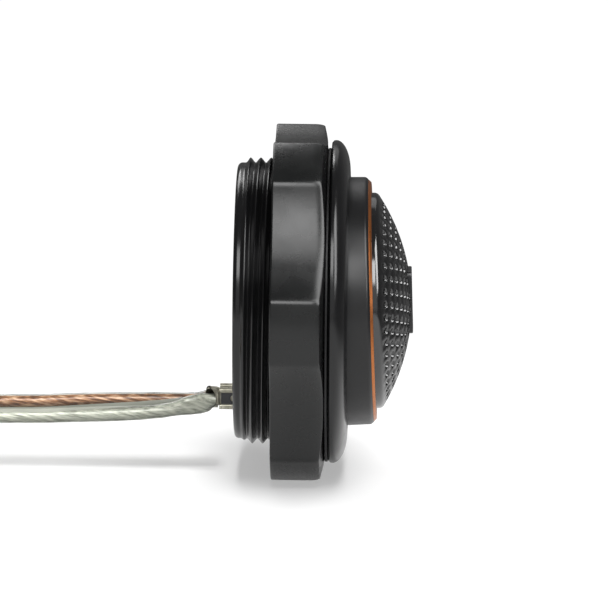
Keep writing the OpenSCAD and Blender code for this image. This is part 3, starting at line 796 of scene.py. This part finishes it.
def woven(name, light, dark, thread_mm):
    """Cloth or felt: crossed threads under a soft nap."""
    m, shader, place = new_material(name, Roughness=0.85, Sheen_Weight=0.3)
    patches = add(m, "TexNoise", Vector=place, Scale=1 / (thread_mm * MM), Detail=4)["Fac"]
    # A wave of scale 1 is 0.314 long, so one wave here takes two threads, one over and one under
    weave = add(m, "TexWave", Vector=place, Scale=1 / (thread_mm * MM) / 6, Distortion=1.5)["Fac"]
    feed(
        m, shader,
        Base_Color=add(m, "ValToRGB", Fac=patches, stops=[(0.3, dark), (0.7, light)])["Color"],
        Normal=add(m, "Bump", Height=weave, Distance=0.05 * MM, Strength=0.5)["Normal"],
    )
    return m


# Matt moulded plastic, dark grey, which keeps the inside quiet behind the holes
put(moulded("inner_plastic", "#1f2022", "#1a1b1c", 0.5), *(nodes[n] for n in INNER_PLASTICS))
# Zinc-plated steel is a soft grey metal, and the magnet's nickel is paler and brighter
put(plated("motor_steel", "#b4b6b8", "#9a9c9e", 0.35), *(nodes[n] for n in STEELS))
put(plated("magnet_plating", "#cfcfca", "#b9b9b4", 0.22), nodes["magnet"])
# Aluminium foil is a pale clean metal, and enamelled copper wire a warm one
put(plated("former_foil", "#d0d1d3", "#bcbdbf", 0.3), nodes["coil_former"])
put(plated("coil_wire", "#c98a5c", "#a0623a", 0.35), nodes["voice_coil"])
# Coated silk and pressed felt show a soft nap with no highlight, and butyl rubber is matt and black
put(woven("dome_cloth", "#1b1b1d", "#121213", 0.3), nodes["dome"])
put(woven("felt", "#474440", "#33312e", 0.8), nodes["damping_pad"])
put(moulded("surround_rubber", "#161616", "#0f0f0f", 0.6), nodes["surround"])


# Stage. A pale floor in a dark room. Two softboxes stand high on the camera's side and two behind, a
# low card lights only the orange ring, and two lamps overhead light only the floor. To the camera and
# through clear pieces all is white beyond the lit floor; gloss sees it dim.
LIT_CENTRE, LIT_M, DARK_M, POOL_PAINT_LAG = (-0.14, -0.19, FLOOR_Z * MM), 0.24, 0.33, 0.02
FLOOR_M = 4
floor_mesh = bpy.data.meshes.new("floor")
corners = ((-FLOOR_M, -FLOOR_M), (FLOOR_M, -FLOOR_M), (FLOOR_M, FLOOR_M), (-FLOOR_M, FLOOR_M))
floor_mesh.from_pydata([(*c, FLOOR_Z * MM) for c in corners], [], [(0, 1, 2, 3)])
floor = bpy.data.objects.new("floor", floor_mesh)
bpy.context.scene.collection.objects.link(floor)

# Matt painted board with no gloss of its own. Its colour is pale within the lamps' pool and dark past
# it: a painted pool of light
pale, shader, place = new_material("pale_floor", Roughness=0.9, Specular_IOR_Level=0.0)
away = add(pale, "VectorMath", place, LIT_CENTRE, operation="DISTANCE")["Value"]
painted_pool_stops = [(LIT_M + POOL_PAINT_LAG, "#d2d2d2"), (DARK_M + POOL_PAINT_LAG, "#303030")]
rays = add(pale, "LightPath")
glow = 0.0
for ray, lit, dark in (
    ("Is Camera Ray", 0.22, 1.0), ("Is Transmission Ray", 0.0, 1.0), ("Is Glossy Ray", 0.15, 0.1),
):
    shine = add(pale, "ValToRGB", Fac=away, stops=[(LIT_M, lit), (DARK_M, dark)])["Color"]
    seen = add(pale, "Math", rays[ray], shine, operation="MULTIPLY")["Value"]
    glow = add(pale, "Math", glow, seen, operation="MAXIMUM")["Value"]
feed(
    pale, shader,
    Base_Color=add(pale, "ValToRGB", Fac=away, stops=painted_pool_stops)["Color"],
    Emission_Color=linear("#ffffff"), Emission_Strength=glow,
)
put(pale, floor)

world = bpy.data.worlds.new("studio")
world.use_nodes = True
bpy.context.scene.world = world
rays = add(world, "LightPath")
way = add(world, "SeparateXYZ", Vector=add(world, "TexCoord")["Generated"])["Y"]
room = add(
    world, "MapRange", Value=way, From_Min=-0.65, From_Max=-0.95, To_Min=0.12, To_Max=0.6,
)["Result"]
behind = add(world, "MapRange", Value=way, From_Min=0.3, From_Max=0.8)["Result"]
through = add(world, "Math", rays["Is Transmission Ray"], behind, operation="MULTIPLY")["Value"]
white = add(world, "Math", rays["Is Camera Ray"], through, operation="MAXIMUM")["Value"]
strength = add(world, "Math", white, room, operation="MAXIMUM")["Value"]
feed(world, world.node_tree.nodes["Background"], Color=linear("#ffffff"), Strength=strength)


def light_group(name, state, *members):
    """What a light reaches or what throws its shadow: only these pieces, or all but these."""
    group = bpy.data.collections.new(name)
    for i, piece in enumerate(members):
        group.objects.link(piece)
        group.collection_objects[i].light_linking.link_state = state
    return group


def softbox(name, azimuth, elevation, size, radiance, reaches, shadows, away=0.8):
    """A light that faces the object from a way round from the camera, a height and a distance."""
    light = bpy.data.lights.new(name, "AREA")
    light.shape, light.size, light.size_y = "RECTANGLE", *size
    light.energy = radiance * math.pi * size[0] * size[1]
    a, e = math.radians(azimuth), math.radians(elevation)
    o = bpy.data.objects.new(name, light)
    bpy.context.scene.collection.objects.link(o)
    o.location = away * Vector((math.sin(a) * math.cos(e), -math.cos(a) * math.cos(e), math.sin(e)))
    o.rotation_mode = "QUATERNION"
    o.rotation_quaternion = o.location.to_track_quat("Z", "Y")
    o.visible_camera = False
    o.light_linking.receiver_collection = reaches
    o.light_linking.blocker_collection = shadows


object_only = light_group("all_but_floor", "EXCLUDE", floor)
accent_only = light_group("only_accent", "INCLUDE", accent)
floor_only = light_group("only_floor", "INCLUDE", floor)
all_but_sheath = light_group("all_but_sheath", "EXCLUDE", lead, *tails)
wires = light_group("only_lead", "INCLUDE", lead, *tails, *cores)
wires_and_mount = light_group("lead_and_mount", "INCLUDE", lead, *tails, *cores, cup, nut)
OVERHEAD, OVERHEAD_SIZE, OVERHEAD_M = (5, 75), (0.5, 1.3), 1.6
softbox("left_box", -8, 41, (0.40, 0.36), 6, object_only, all_but_sheath)
softbox("right_box", 48, 43, (0.42, 0.8), 6.5, object_only, all_but_sheath)
softbox("rear_box", 180, 40, (0.5, 0.36), 0.6, object_only, all_but_sheath)
softbox("rear_left_box", 205, 42, (0.36, 0.36), 4, object_only, all_but_sheath)
softbox("right_card", 92, 5, (0.3, 0.14), 2, accent_only, all_but_sheath)
softbox("overhead_box", *OVERHEAD, OVERHEAD_SIZE, 4.4, floor_only, wires, OVERHEAD_M)
softbox("overhead_fill", *OVERHEAD, OVERHEAD_SIZE, 12.4, floor_only, wires_and_mount, OVERHEAD_M)
